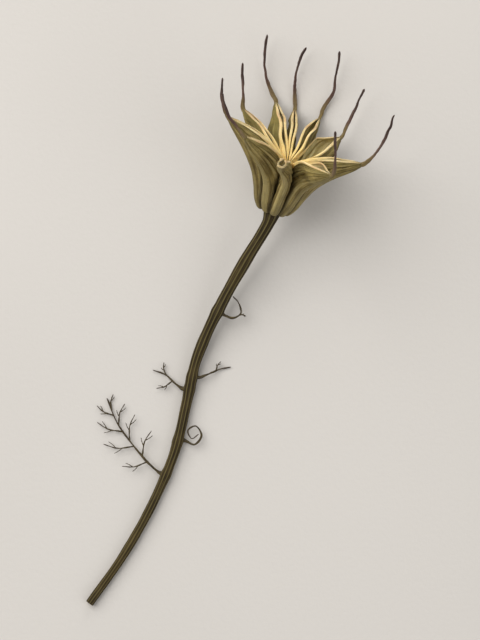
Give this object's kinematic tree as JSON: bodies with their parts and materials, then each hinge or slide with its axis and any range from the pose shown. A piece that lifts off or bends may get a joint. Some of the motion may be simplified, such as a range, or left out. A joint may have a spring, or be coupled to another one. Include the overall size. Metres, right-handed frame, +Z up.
{
  "type": "nigella seed pod",
  "caption": "Dried star-shaped seed pod: a ring of papery open follicles with long curved beaks, on a slender cut stem with thread-like leaves, lying on its side.",
  "frame": {"origin": "on the surface the pod lies on, under the middle of its bounding box", "axes": "+Z up from the surface, +Y along the object with the stem's cut end towards -Y and the pod's mouth towards +Y"},
  "size_m": [0.0766, 0.1422, 0.0344],
  "materials": {
    "follicle_wall": "dry papery plant wall, matt",
    "stem": "dry ridged stalk, matt",
    "leaf": "dry thread leaf, matt"
  },
  "bodies": {
    "root": {"follicle_1": "follicle_wall", "follicle_2": "follicle_wall", "follicle_3": "follicle_wall", "follicle_4": "follicle_wall", "follicle_5": "follicle_wall", "follicle_6": "follicle_wall", "follicle_7": "follicle_wall", "follicle_8": "follicle_wall", "follicle_9": "follicle_wall", "follicle_10": "follicle_wall", "stem": "stem", "leaf_1": "leaf", "leaf_2": "leaf", "leaf_3": "leaf", "leaf_4": "leaf", "leaf_5": "leaf"}
  },
  "joints": []
}
